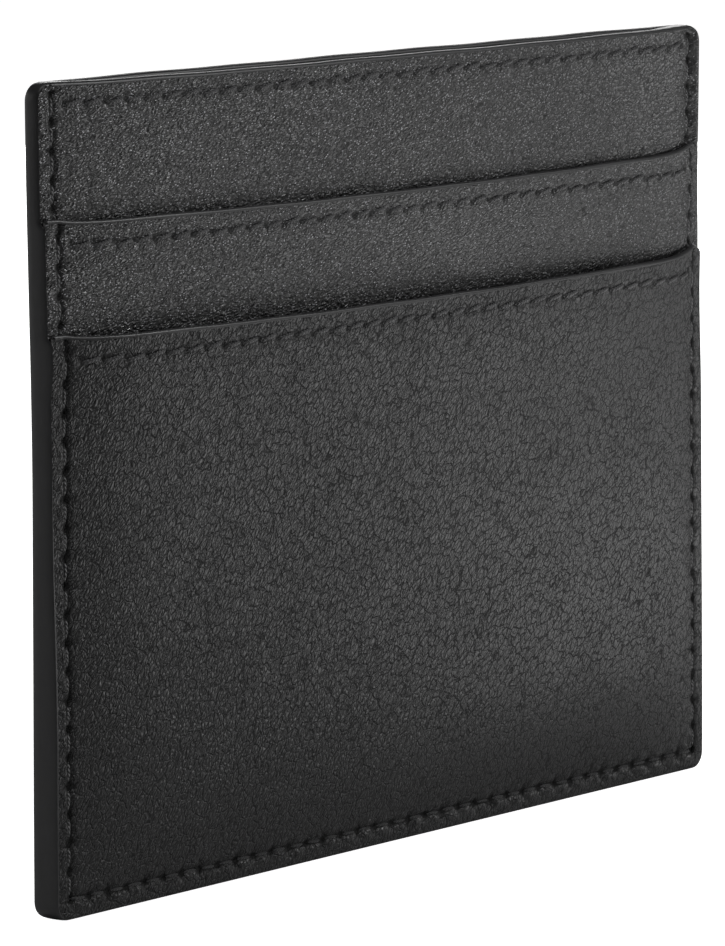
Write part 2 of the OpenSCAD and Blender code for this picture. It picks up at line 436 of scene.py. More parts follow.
def spans(count, size):
    """Cuts a number of cells into runs of at most "size"."""
    marks = list(range(0, count, size)) + [count]
    return list(zip(marks[:-1], marks[1:]))


def patch_ring(columns, rows, fine, col, row):
    """Corner indices round a coarse patch, with every vertex that a fine neighbour needs."""
    (c0, c1), (r0, r1) = columns[col], rows[row]

    def is_fine(c, r):
        return 0 <= c < len(columns) and 0 <= r < len(rows) and fine[c][r]

    def run(first, last, needed):
        sign = 1 if last > first else -1
        return list(range(first, last, sign)) if needed else [first]

    ring = [(c, r0) for c in run(c0, c1, is_fine(col, row - 1))]
    ring += [(c1, r) for r in run(r0, r1, is_fine(col + 1, row))]
    ring += [(c, r1) for c in run(c1, c0, is_fine(col, row + 1))]
    ring += [(c0, r) for r in run(r1, r0, is_fine(col - 1, row))]
    return ring


def sheet_faces(column_count, row_count, block, is_fine, is_kept):
    """Faces of a sheet's grid: small cells where is_fine says so, and coarse patches elsewhere."""
    columns = spans(column_count, block)
    rows = spans(row_count, block)
    fine = [[is_fine(c, r) for r in rows] for c in columns]
    faces = []
    for col, (c0, c1) in enumerate(columns):
        for row, (r0, r1) in enumerate(rows):
            if not is_kept((c0, c1), (r0, r1)):
                continue
            if fine[col][row]:
                faces += [
                    [(c, r), (c + 1, r), (c + 1, r + 1), (c, r + 1)]
                    for c in range(c0, c1) for r in range(r0, r1)]
            else:
                faces.append(patch_ring(columns, rows, fine, col, row))
    return faces


def close_sheet(faces):
    """Numbers the used grid points and returns them with front, back and wall faces."""
    number = {}
    front = []
    for face in faces:
        front.append([number.setdefault(point, len(number)) for point in face])
    offset = len(number)
    directed = set()
    for face in front:
        directed.update(zip(face, face[1:] + face[:1]))
    walls = [
        [b, a, a + offset, b + offset]
        for face in front for a, b in zip(face, face[1:] + face[:1]) if (b, a) not in directed]
    back = [[v + offset for v in reversed(face)] for face in front]
    return list(number), front + back + walls


def sheet(name, front, back, low, high, rise, is_fine, material, slot, nodes,
          step, inset, mouth_z=None, block=8, is_kept=None, marks=None):
    """One soft layer, as a closed sheet between the surfaces that front and back give for x and z."""
    row_z = sheet_rows(low, high, step)
    column_count = round(2.0 * (HALF_W - inset) / step)
    across = np.linspace(-1.0, 1.0, column_count + 1)
    nominal_z, share_x = np.meshgrid(row_z, across)
    x = share_x * half_width(nominal_z, inset)
    z = nominal_z + rise(x, nominal_z, mouth_z if mouth_z else high)
    front_y = front(x, nominal_z)
    back_y = back(x, nominal_z)

    def centre(c, r):
        return x[(c[0] + c[1]) // 2, (r[0] + r[1]) // 2], nominal_z[c[0], (r[0] + r[1]) // 2]

    def cells_fine(c, r):
        return is_fine(*centre(c, r))

    def cells_kept(c, r):
        return is_kept is None or is_kept(*centre(c, r))

    faces = sheet_faces(column_count, len(row_z) - 1, block, cells_fine, cells_kept)
    points, all_faces = close_sheet(faces)
    c, r = np.array(points).T
    vertices = np.concatenate([
        np.stack([x[c, r], front_y[c, r], z[c, r]], 1),
        np.stack([x[c, r], back_y[c, r], z[c, r]], 1)])
    # The mark depth is kept on the vertices so that the leather material can paint shade into the stitch
    # holes and troughs.
    pressed = None
    if marks is not None:
        seams = settings().seams
        depth = np.clip(marks(x, nominal_z)[c, r] / (seams.trough + seams.hole), 0.0, 1.0)
        pressed = np.concatenate([depth, depth]).astype(np.float32)
    finish_piece(name, vertices.tolist(), all_faces, material, nodes, slot, pressed=pressed)


def near_seams(bottom, row_z, low):
    """Says where a leather panel needs small cells: at its seams and under its mouth."""
    margin, bottom_margin, row_margin = 3.0 * MM, 3.5 * MM, 1.6 * MM

    def is_fine(x, z):
        at_side = abs(x) > HALF_W - margin and z > low - margin
        at_bottom = bottom and z < bottom_margin
        at_row = z > row_z - row_margin
        return at_side or at_bottom or at_row

    return is_fine


def nowhere(_x, _z):
    """A layer with no fine detail."""
    return False


# ---- Leather panels ----

def leather_panel(name, row, shift, rise, low, high, seam_low, material, layer=None, mouth_z=None):
    """An outer leather piece, marked by its seams down to seam_low. The back panel has no layer."""
    inset = settings().shape.edge_round
    front_y, rear_y = faces_of(name)
    row_z = ROW_Z[row]
    at_foot = seam_low == 0.0
    fall_low = inset if at_foot else 0.0

    def marks(x, z):
        seam = side_marks(x, z, seam_low, TOP_Z)
        if at_foot:
            seam = seam + bottom_marks(x, z)
        return seam + row_marks(x, z, row_z)

    def front(x, z):
        level = front_y + shift(x, z)
        if layer is None:
            return level
        return level + skive(x, z, layer) + marks(x, z) + edge_fall(x, z, inset, fall_low)

    def back(x, z):
        level = rear_y + shift(x, z)
        if layer is None:
            return level - marks(x, z) - edge_fall(x, z, inset, fall_low)
        return level

    sheet(
        name, front, back, low, high - PAINT_T, rise, near_seams(at_foot, row_z, seam_low),
        material, "leather", [name], settings().shape.cell, inset, mouth_z, marks=marks)


# ---- Linings, stiffener, cement and filler ----

def thin_layer(node, shift_front, shift_rear, rise, mouth_z, material, slot, seam_only=False):
    """An inner layer between two shifts, either whole or only along the cemented seam."""
    side_clear, mouth_clear, seam_width, cell = 0.15 * MM, 0.1 * MM, 4.2 * MM, 1.0 * MM
    inset = settings().shape.edge_round + side_clear
    front_y, back_y = faces_of(node)
    corner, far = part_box(node)
    seam_in = HALF_W - seam_width

    def front(x, z):
        return front_y + shift_front(x, z)

    def back(x, z):
        return back_y + shift_rear(x, z)

    def along_seam(x, z):
        return abs(x) > seam_in or z < corner.z + seam_width

    sheet(
        node, front, back, max(corner.z, inset), far.z - mouth_clear, rise, nowhere, material, slot,
        [node], cell, inset, mouth_z, 1, along_seam if seam_only else None)


# ---- Painted edges ----

PAINT_SHARP = 60.0  # degrees; a sharper fold of the paint stays a crisp edge


def mouth_bead(name, layer, front_y, back_y, shift, rise, mouth_z, end_x, material):
    """The painted edge along a mouth: a half-round bead over the cut edge."""
    x = np.linspace(-end_x, end_x, 401)
    turn = np.linspace(0.0, math.pi, 11)
    root, standing, least, behind = 0.17 * MM, 0.08 * MM, 0.1 * MM, 0.01 * MM
    taper_from, taper_until = seam_x() - 1.0 * MM, seam_x() + 0.6 * MM
    root_z = mouth_z - PAINT_T - root
    level = np.full_like(x, mouth_z)
    lift = rise(x, level, mouth_z)
    proud = standing * (1.0 - ease(taper_from, taper_until, x))
    front = front_y + shift(x, level) + skive(x, level, layer) - proud
    rear = np.maximum(back_y + shift(x, level) + behind, front + least)
    middle = (front + rear) / 2.0
    half = (rear - front) / 2.0
    uneven = 1.0 + 0.12 * np.sin(x / (3.1 * MM)) * np.sin(x / (7.3 * MM))
    bead = (PAINT_T + root) * uneven
    y = middle[:, None] - half[:, None] * np.cos(turn)[None, :]
    z = (root_z + lift)[:, None] + bead[:, None] * np.sin(turn)[None, :] ** 0.8
    vertices = np.stack([np.repeat(x[:, None], len(turn), 1), y, z], 2).reshape(-1, 3)
    faces = tube_faces(len(x), len(turn))
    finish_piece(name, vertices.tolist(), faces, material, [name], "edge_paint", PAINT_SHARP)


def tube_faces(length_count, ring_count):
    """Quads of a closed tube that runs along a grid's first index, with a cap on each end."""
    faces = []
    for i in range(length_count - 1):
        for j in range(ring_count):
            k = (j + 1) % ring_count
            faces.append([
                i * ring_count + j, i * ring_count + k,
                (i + 1) * ring_count + k, (i + 1) * ring_count + j])
    faces.append(list(reversed(range(ring_count))))
    faces.append([(length_count - 1) * ring_count + j for j in range(ring_count)])
    return faces


def outline_run(inset):
    """Points and outward directions round the closed sides, from the top left to the top right."""
    top_run = 5.0 * MM
    step = 0.25 * MM
    arc_steps = 24
    radius = CORNER_R - inset
    centre_x = HALF_W - CORNER_R
    high = TOP_Z - CORNER_R

    def straight(x0, z0, x1, z1, nx, nz):
        count = max(2, round(math.hypot(x1 - x0, z1 - z0) / step))
        return [
            (x0 + (x1 - x0) * i / count, z0 + (z1 - z0) * i / count, nx, nz) for i in range(count)]

    def corner(cx, cz, start):
        turns = [start + math.pi / 2.0 * i / arc_steps for i in range(arc_steps)]
        return [
            (cx + radius * math.cos(a), cz + radius * math.sin(a), math.cos(a), math.sin(a))
            for a in turns]

    side = HALF_W - inset
    run = straight(-centre_x + top_run, TOP_Z - inset, -centre_x, TOP_Z - inset, 0.0, 1.0)
    run += corner(-centre_x, high, math.pi / 2.0)
    run += straight(-side, high, -side, CORNER_R, -1.0, 0.0)
    run += corner(-centre_x, CORNER_R, math.pi)
    run += straight(-centre_x, inset, centre_x, inset, 0.0, -1.0)
    run += corner(centre_x, CORNER_R, 1.5 * math.pi)
    run += straight(side, CORNER_R, side, high, 1.0, 0.0)
    run += corner(centre_x, high, 0.0)
    run += straight(centre_x, TOP_Z - inset, centre_x - top_run, TOP_Z - inset, 0.0, 1.0)
    return np.array(run).T


def skin_front(x, z):
    """The foremost surface at a point, which steps out over each pocket's mouth."""
    under, over = 0.35 * MM, 0.25 * MM
    upper = 1.0 - ease(UPPER_Z - under, UPPER_Z + over, z)
    lower = 1.0 - ease(LOWER_Z - under, LOWER_Z + over, z)
    panel_y = PANEL_Y + shift_sleeve(x, z) + skive(x, z, 0)
    upper_y = UPPER_Y + shift_upper(x, z) + skive(x, z, 1)
    lower_y = LOWER_Y + shift_lower(x, z) + skive(x, z, 2)
    stepped = panel_y + (upper_y - panel_y) * upper
    return stepped + (lower_y - stepped) * lower


def edge_paint(material):
    """The painted edge that runs down one side, along the bottom and up the other side."""
    bulge = settings().shape.edge_round
    clear, sunk, wrap_proud, lap, lip = 0.04 * MM, 0.07, 0.12, 0.12 * MM, 0.02 * MM
    top_from, top_until = 0.5 * MM, 4.6 * MM
    inset = bulge + clear
    x, z, nx, nz = outline_run(inset)
    turn = np.linspace(0.0, math.pi, 17)
    fullness = 2.0 / 2.5
    across = -np.sign(np.cos(turn)) * np.abs(np.cos(turn)) ** fullness
    out = np.abs(np.sin(turn)) ** fullness
    inner_x = HALF_W - CORNER_R - np.abs(x)
    at_top = (nz > 0.5) * 1.0
    fade = 1.0 - at_top * ease(top_from, top_until, inner_x)
    low_left = (x < 0.0) * (nx < 0.0) * nx ** 2 * (1.0 - ease(0.3 * TOP_Z, 0.6 * TOP_Z, z))
    wrap = settings().shape.paint_wrap * low_left
    front = skin_front(x, z) + (sunk - wrap_proud * low_left) * MM
    back = BACK_Y + shift_back(x, z) - clear
    middle = (front + back) / 2.0
    half = (back - front) / 2.0
    wave = 1.0 + 0.05 * np.sin(z / (4.3 * MM)) + 0.04 * np.sin(x / (5.7 * MM))
    stand = inset * fade * wave
    y = middle[:, None] + half[:, None] * across[None, :]
    px = x[:, None] + nx[:, None] * stand[:, None] * out[None, :]
    pz = z[:, None] + nz[:, None] * stand[:, None] * out[None, :]
    px = np.clip(px, -HALF_W, HALF_W)
    pz = np.clip(pz, 0.0, TOP_Z)
    px = np.column_stack([x, x - nx * wrap, px])
    pz = np.column_stack([z, z - nz * wrap, pz])
    y = np.column_stack([front + lap, front + lip, y])
    vertices = np.stack([px, y, pz], 2).reshape(-1, 3)
    faces = tube_faces(len(x), len(turn) + 2)
    finish_piece(
        "edge_paint", vertices.tolist(), faces, material,
        ["edge_paint_left", "edge_paint_right", "edge_paint_bottom"], "edge_paint", PAINT_SHARP)


# ---- Thread ----

def stitch_tree():
    """Geometry Nodes that turn each edge of a mesh into one stitch of thread."""
    tree = bpy.data.node_groups.new("Locked stitches", "GeometryNodeTree")
    sockets = (
        ("Geometry", "NodeSocketGeometry"), ("Diameter", "NodeSocketFloat"),
        ("Crown", "NodeSocketFloat"), ("Sink", "NodeSocketFloat"), ("Slant", "NodeSocketFloat"),
        ("Outward", "NodeSocketVector"), ("Thread", "NodeSocketMaterial"))
    for name, kind in sockets:
        tree.interface.new_socket(name, in_out="INPUT", socket_type=kind)
    tree.interface.new_socket("Geometry", in_out="OUTPUT", socket_type="NodeSocketGeometry")
    given = tree.nodes.new("NodeGroupInput").outputs
    steps, sides = 8, 8

    def math_node(operation, *values):
        return calc(tree, operation, *values)

    curves = join(tree, "GeometryNodeMeshToCurve", {"Mesh": given["Geometry"]}).outputs[0]
    curves = join(tree, "GeometryNodeResampleCurve", {"Curve": curves, "Count": steps}).outputs[0]
    spot = join(tree, "GeometryNodeSplineParameter", {}).outputs["Factor"]
    arch = math_node("MULTIPLY", math_node("MULTIPLY", spot, 4.0), math_node("SUBTRACT", 1.0, spot))
    dive = math_node("POWER", math_node("SUBTRACT", 1.0, arch), 2.5)
    lift = math_node(
        "SUBTRACT", math_node("MULTIPLY", arch, given["Crown"]),
        math_node("MULTIPLY", dive, given["Sink"]))
    tangent = join(tree, "GeometryNodeInputTangent", {}).outputs[0]
    aside = vector_math(tree, "CROSS_PRODUCT", tangent, given["Outward"])
    step = math_node("MULTIPLY", math_node("SUBTRACT", spot, 0.5), given["Slant"])
    move = vector_math(
        tree, "ADD", scaled(tree, given["Outward"], lift), scaled(tree, aside, step))
    curves = join(tree, "GeometryNodeSetPosition", {"Geometry": curves, "Offset": move}).outputs[0]
    along = join(tree, "GeometryNodeSplineParameter", {}).outputs["Length"]
    curves = join(
        tree, "GeometryNodeStoreNamedAttribute",
        {"Geometry": curves, "Name": "thread_along", "Value": along}).outputs[0]
    ring = join(
        tree, "GeometryNodeCurvePrimitiveCircle",
        {"Resolution": sides, "Radius": math_node("MULTIPLY", given["Diameter"], 0.5)}).outputs[0]
    around = join(tree, "GeometryNodeSplineParameter", {}).outputs["Factor"]
    ring = join(
        tree, "GeometryNodeStoreNamedAttribute",
        {"Geometry": ring, "Name": "thread_around", "Value": around}).outputs[0]
    tube = join(
        tree, "GeometryNodeCurveToMesh",
        {"Curve": curves, "Profile Curve": ring, "Fill Caps": True}).outputs[0]
    tube = join(tree, "GeometryNodeSetShadeSmooth", {"Geometry": tube}).outputs[0]
    tube = join(tree, "GeometryNodeRealizeInstances", {"Geometry": tube}).outputs[0]
    tube = join(
        tree, "GeometryNodeSetMaterial",
        {"Geometry": tube, "Material": given["Thread"]}).outputs[0]
    out = tree.nodes.new("NodeGroupOutput")
    tree.links.new(tube, out.inputs["Geometry"])
    return tree


def stitch_run(x0, z0, x1, z1, surface, jitter, follow=0.0):
    """One edge per stitch between two points, lying on a surface."""
    run = math.hypot(x1 - x0, z1 - z0)
    count = max(1, round(run / settings().seams.pitch))
    part = np.linspace(0.0, 1.0, count + 1)
    x = x0 + (x1 - x0) * part
    z = z0 + (z1 - z0) * part
    gap, unevenness = 0.09, 0.02 * MM
    pairs = []
    for i in range(count):
        ends = []
        for share_in in (gap, 1.0 - gap):
            px = x[i] + (x[i + 1] - x[i]) * share_in + jitter.normal(0.0, unevenness)
            pz = z[i] + (z[i + 1] - z[i]) * share_in + jitter.normal(0.0, unevenness)
            if follow:
                pz += float(zigzag((i + share_in) * run / count, run, follow))
            py = float(surface(np.array([px]), np.array([pz]))[0])
            ends.append((px, py, pz))
        pairs.append(ends)
    return pairs


def thread_piece(name, pairs, outward, slant, tree, material):
    """Turns the stitches of one thread into a mesh with the stitch tree."""
    seams = settings().seams
    mesh = bpy.data.meshes.new(name + "_path")
    points = [point for pair in pairs for point in pair]
    mesh.from_pydata(points, [(2 * i, 2 * i + 1) for i in range(len(pairs))], [])
    path = bpy.data.objects.new(name + "_path", mesh)
    bpy.context.scene.collection.objects.link(path)
    modifier = path.modifiers.new("Stitches", "NODES")
    modifier.node_group = tree
    values = {
        "Diameter": seams.thread, "Crown": seams.crown, "Sink": seams.sink, "Slant": slant,
        "Outward": outward, "Thread": material}
    for item in tree.interface.items_tree:
        if item.in_out == "INPUT" and item.name in values:
            modifier[item.identifier] = values[item.name]
    depsgraph = bpy.context.evaluated_depsgraph_get()
    made = bpy.data.meshes.new_from_object(path.evaluated_get(depsgraph))
    bpy.data.objects.remove(path)
    made.name = name
    hang(name, made, [name], "thread")


def threads(material):
    """The side and bottom seam on both faces, and the row under each mouth."""
    seams = settings().seams
    tree = stitch_tree()
    jitter = np.random.default_rng(11)
    side = seam_x()
    low = seams.bottom_inset
    below, proud = 0.1 * MM, 0.02 * MM
    sunk = seams.trough + below

    def front(x, z):
        return skin_front(x, z) + sunk

    def back(x, z):
        return BACK_Y + shift_back(x, z) - sunk

    for name, surface, outward in (
            ("seam_thread_front", front, (0.0, -1.0, 0.0)),
            ("seam_thread_back", back, (0.0, 1.0, 0.0))):
        pairs = stitch_run(-side, seam_top(), -side, low, surface, jitter)
        pairs += stitch_run(-side, low, side, low, surface, jitter)
        pairs += stitch_run(side, low, side, seam_top(), surface, jitter)
        thread_piece(name, pairs, outward, seams.seam_step, tree, material)
    rows = (
        ("front_top_thread", PANEL_Y, shift_sleeve, -1.0),
        ("upper_pocket_thread", UPPER_Y, shift_upper, -1.0),
        ("lower_pocket_thread", LOWER_Y, shift_lower, -1.0),
        ("back_top_thread", BACK_Y, shift_back, 1.0))
    for name, level_y, shift, side_y in rows:
        def surface(x, z, level_y=level_y, shift=shift, side_y=side_y):
            return level_y + shift(x, z) + side_y * proud

        pairs = stitch_run(
            -ROW_X, ROW_Z[name], ROW_X, ROW_Z[name], surface, jitter, seams.row_step)
        thread_piece(name, pairs, (0.0, side_y, 0.0), 0.0, tree, material)


# ---- Shader helpers ----

def join(tree, kind, inputs, **options):
    """Adds a node, sets its options, and fills its inputs with values or with other outputs."""
    made = tree.nodes.new(kind)
    for name, value in options.items():
        setattr(made, name, value)
    for key, value in inputs.items():
        socket = made.inputs[key]
        if isinstance(value, bpy.types.NodeSocket):
            tree.links.new(value, socket)
        else:
            socket.default_value = value
    return made


def new_group(name, inputs, outputs):
    """An empty shader node group with named inputs, as (name, kind, default), and outputs."""
    group = bpy.data.node_groups.new(name, "ShaderNodeTree")
    for label, kind, default in inputs:
        socket = group.interface.new_socket(label, in_out="INPUT", socket_type="NodeSocket" + kind)
        if default is not None:
            socket.default_value = default
    for label, kind in outputs:
        group.interface.new_socket(label, in_out="OUTPUT", socket_type="NodeSocket" + kind)
    return group, group.nodes.new("NodeGroupInput").outputs, group.nodes.new("NodeGroupOutput").inputs


def calc(tree, operation, *values, clamp=False):
    """A Math node's result."""
    return join(
        tree, "ShaderNodeMath", dict(enumerate(values)), operation=operation,
        use_clamp=clamp).outputs[0]


def remap(tree, value, low, high, to_low=0.0, to_high=1.0):
    """A smooth Map Range's result."""
    return join(
        tree, "ShaderNodeMapRange",
        {"Value": value, "From Min": low, "From Max": high, "To Min": to_low, "To Max": to_high},
        interpolation_type="SMOOTHSTEP").outputs[0]


def blend_colour(tree, share_in, first, second):
    """A mix of two colours."""
    return join(
        tree, "ShaderNodeMix", {0: share_in, 6: first, 7: second}, data_type="RGBA").outputs[2]


def vector_math(tree, operation, first, second):
    """A Vector Math node's result for two vectors."""
    return join(
        tree, "ShaderNodeVectorMath", {0: first, 1: second}, operation=operation).outputs[0]


def scaled(tree, vector, factor):
    """A vector made longer or shorter by a factor."""
    return join(
        tree, "ShaderNodeVectorMath", {"Vector": vector, "Scale": factor},
        operation="SCALE").outputs[0]


def noise(tree, place, scale, detail):
    """A Noise Texture's outputs: its value first, and its colour."""
    return join(
        tree, "ShaderNodeTexNoise", {"Vector": place, "Scale": scale, "Detail": detail}).outputs


def cells(tree, place, scale, feature="DISTANCE_TO_EDGE"):
    """A Voronoi Texture's distance, to the cell's edge or (F1) to its middle."""
    return join(
        tree, "ShaderNodeTexVoronoi", {"Vector": place, "Scale": scale},
        feature=feature).outputs["Distance"]


def new_material(name):
    """A material with only a Principled BSDF and its output, and object places in millimetres."""
    material = bpy.data.materials.new(name)
    material.use_nodes = True
    tree = material.node_tree
    tree.nodes.clear()
    shader = tree.nodes.new("ShaderNodeBsdfPrincipled")
    out = tree.nodes.new("ShaderNodeOutputMaterial")
    tree.links.new(shader.outputs[0], out.inputs["Surface"])
    place = tree.nodes.new("ShaderNodeTexCoord").outputs["Object"]
    return material, tree, shader, scaled(tree, place, 1.0 / MM)


def rgba(colour, factor=1.0):
    """A colour with full alpha, made lighter or darker by a factor."""
    return (colour[0] * factor, colour[1] * factor, colour[2] * factor, 1.0)


def place_group(tree, group, inputs):
    """Puts a node group in a tree and fills its inputs."""
    return join(tree, "ShaderNodeGroup", inputs, node_tree=group).outputs


def grain_group():
    """Pebbled leather grain: rounded pebbles, fine wrinkles between them and shallow creases."""
    group, given, out = new_group(
        "Pebbled grain",
        [("Place", "Vector", None), ("Pebble", "Float", 0.4), ("Stretch", "Float", 1.0),
         ("Slant", "Float", 0.0), ("Creases", "Float", 0.5), ("Specks", "Float", 0.5)],
        [("Height", "Float"), ("Cracks", "Float"), ("Patches", "Float"), ("Specks", "Float")])
    turned = join(
        group, "ShaderNodeVectorRotate",
        {"Vector": given["Place"], "Axis": (0.0, 1.0, 0.0), "Angle": given["Slant"]},
        rotation_type="AXIS_ANGLE").outputs[0]
    thin = calc(group, "DIVIDE", 1.0, given["Pebble"])
    long = calc(group, "DIVIDE", thin, given["Stretch"])
    scale = join(group, "ShaderNodeCombineXYZ", {"X": thin, "Y": thin, "Z": long}).outputs[0]
    sized = vector_math(group, "MULTIPLY", turned, scale)
    wander = vector_math(group, "SUBTRACT", noise(group, sized, 0.7, 2.0)["Color"], (0.5, 0.5, 0.5))
    bent = vector_math(group, "ADD", sized, scaled(group, wander, 0.9))
    to_edge = cells(group, bent, 1.0)
    small = cells(group, bent, 2.3, "F1")
    fine = noise(group, sized, 4.5, 3.0)[0]
    folds = cells(group, bent, 0.5)
    crease = calc(group, "MULTIPLY", remap(group, folds, 0.0, 0.09, 1.0, 0.0), given["Creases"])
    pebbles = remap(group, to_edge, 0.0, 0.42)
    domes = remap(group, small, 0.1, 0.75, 1.0, 0.0)
    dots = cells(group, sized, 1.8, "F1")
    ridge = remap(group, folds, 0.05, 0.16, 1.0, 0.0)
    speck = calc(group, "MULTIPLY", remap(group, dots, 0.1, 0.4, 1.0, 0.0), ridge)
    speck = calc(group, "MULTIPLY", speck, given["Specks"])
    height = calc(group, "MULTIPLY", pebbles, 0.36)
    height = calc(group, "MULTIPLY_ADD", domes, 0.1, height)
    height = calc(group, "MULTIPLY_ADD", speck, 0.9, height)
    height = calc(group, "MULTIPLY_ADD", fine, 0.1, height)
    height = calc(group, "MULTIPLY_ADD", crease, -0.55, height)
    patches = noise(group, given["Place"], 0.11, 3.0)[0]
    group.links.new(height, out["Height"])
    group.links.new(speck, out["Specks"])
    cracks = calc(group, "MAXIMUM", remap(group, to_edge, 0.0, 0.1, 1.0, 0.0), crease)
    group.links.new(cracks, out["Cracks"])
    group.links.new(remap(group, patches, 0.35, 0.65), out["Patches"])
    return group


def scuff_group():
    """Fine rubbing from handling, as a mask that is stronger in some places."""
    group, given, out = new_group(
        "Handling scuffs", [("Place", "Vector", None), ("Amount", "Float", 0.5)],
        [("Scuff", "Float")])
    streak = vector_math(group, "MULTIPLY", given["Place"], (1.0, 1.0, 0.22))
    marks = noise(group, streak, 3.0, 4.0)[0]
    zones = noise(group, given["Place"], 0.07, 1.0)[0]
    both = calc(group, "MULTIPLY", remap(group, marks, 0.5, 0.72), remap(group, zones, 0.4, 0.7))
    group.links.new(calc(group, "MULTIPLY", both, given["Amount"], clamp=True), out["Scuff"])
    return group


def weave_group():
    """A plain weave of warp and weft threads, with painted shade on its low places."""
    group, given, out = new_group(
        "Fine weave", [("Place", "Vector", None), ("Threads", "Float", 5.0)],
        [("Height", "Float"), ("Painted Shade", "Float")])
    parts = join(group, "ShaderNodeSeparateXYZ", {0: given["Place"]}).outputs
    turns = calc(group, "MULTIPLY", given["Threads"], math.pi)
    warp = calc(group, "SINE", calc(group, "MULTIPLY", parts["X"], turns))
    weft = calc(group, "SINE", calc(group, "MULTIPLY", parts["Z"], turns))
    diagonal = calc(group, "ADD", parts["X"], parts["Z"])
    over = calc(group, "SINE", calc(group, "MULTIPLY", diagonal, turns))
    warp = calc(group, "ABSOLUTE", warp)
    weft = calc(group, "ABSOLUTE", weft)
    side = remap(group, over, -0.2, 0.2)
    picked = calc(group, "MULTIPLY", warp, side)
    height = calc(group, "MULTIPLY_ADD", weft, calc(group, "SUBTRACT", 1.0, side), picked)
    group.links.new(height, out["Height"])
    group.links.new(remap(group, height, 0.0, 1.0, 0.55, 1.0), out["Painted Shade"])
    return group


def coat(tree, shader, colour, roughness, height, distance):
    """Feeds a colour, a roughness and a bump's height into the shader."""
    made = join(tree, "ShaderNodeBump", {"Height": height, "Distance": distance, "Strength": 1.0})
    tree.links.new(colour, shader.inputs["Base Color"])
    tree.links.new(roughness, shader.inputs["Roughness"])
    tree.links.new(made.outputs[0], shader.inputs["Normal"])


# How much lighter or darker than plain leather each of its features is. The crack and hole shades are
# painted shade in the hollows, and the speck shade is a painted highlight: near-white glints on the pebble
# tips.
PATCH_SHADES = (0.85, 1.15)
PAINTED_CRACK_SHADE = 0.3
SCUFF_SHADE = 1.9
PAINTED_GLINT_SHADE = 70.0
PAINTED_HOLE_SHADE = 0.15


def leather_material(name, groups, stretch, slant, creases, specks, relief, rough):
    """Black leather with a pebbled grain, deepest at the holder's left, with painted shade in its cracks
    and stitch holes and painted glints on its speck tips.
    """
    finish = settings().finish
    material, tree, shader, place = new_material(name)
    across = join(tree, "ShaderNodeSeparateXYZ", {0: place}).outputs[0]
    depth = remap(tree, across, -30.0, 35.0, 1.0, 0.3)
    grain = place_group(
        tree, groups["grain"],
        {"Place": place, "Pebble": finish.pebble, "Stretch": stretch, "Slant": slant,
         "Creases": creases, "Specks": calc(tree, "MULTIPLY", depth, specks)})
    scuff = place_group(tree, groups["scuff"], {"Place": place, "Amount": 0.6})["Scuff"]
    # Painted shade: the stitch holes and troughs, read from the pressed mark depth, are darkened and also
    # made rougher.
    pressed = join(tree, "ShaderNodeAttribute", {}, attribute_name="pressed").outputs["Fac"]
    painted_hole_shade = remap(tree, pressed, 0.15, 0.5)
    dull, light = (rgba(finish.leather, factor) for factor in PATCH_SHADES)
    colour = blend_colour(tree, grain["Patches"], dull, light)
    # Painted shade: the grain's cracks and creases are darkened, as if shade fell in them.
    colour = blend_colour(tree, grain["Cracks"], colour, rgba(finish.leather, PAINTED_CRACK_SHADE))
    colour = blend_colour(tree, scuff, colour, rgba(finish.leather, SCUFF_SHADE))
    # Painted highlight: the speck tips are lightened to near white, as glints of the key light, fading
    # towards the right with the grain.
    colour = blend_colour(tree, grain["Specks"], colour, rgba(finish.leather, PAINTED_GLINT_SHADE))
    colour = blend_colour(tree, painted_hole_shade, colour, rgba(finish.leather, PAINTED_HOLE_SHADE))
    roughness = calc(tree, "MULTIPLY_ADD", grain["Cracks"], 0.5, rough)
    roughness = calc(tree, "MULTIPLY_ADD", painted_hole_shade, 0.5, roughness)
    roughness = calc(tree, "MULTIPLY_ADD", grain["Specks"], -0.08, roughness)
    roughness = calc(tree, "MULTIPLY_ADD", grain["Patches"], 0.06, roughness)
    roughness = calc(tree, "MULTIPLY_ADD", scuff, 0.12, roughness, clamp=True)
    height = calc(tree, "MULTIPLY", grain["Height"], depth)
    coat(tree, shader, colour, roughness, height, relief)
    return material


def paint_material(groups):
    """Satin edge paint: smooth, with a faint waviness from the brush."""
    finish = settings().finish
    material, tree, shader, place = new_material("Edge paint")
    scuff = place_group(tree, groups["scuff"], {"Place": place, "Amount": 0.5})["Scuff"]
    flow = noise(tree, place, 0.9, 3.0)[0]
    dots = noise(tree, place, 9.0, 2.0)[0]
    colour = blend_colour(tree, flow, rgba(finish.paint, 0.85), rgba(finish.paint, 1.2))
    colour = blend_colour(tree, scuff, colour, rgba(finish.paint, 1.8))
    roughness = calc(tree, "MULTIPLY_ADD", scuff, 0.15, finish.paint_rough)
    height = calc(tree, "MULTIPLY_ADD", dots, 0.15, flow)
    coat(tree, shader, colour, roughness, height, 0.02 * MM)
    return material


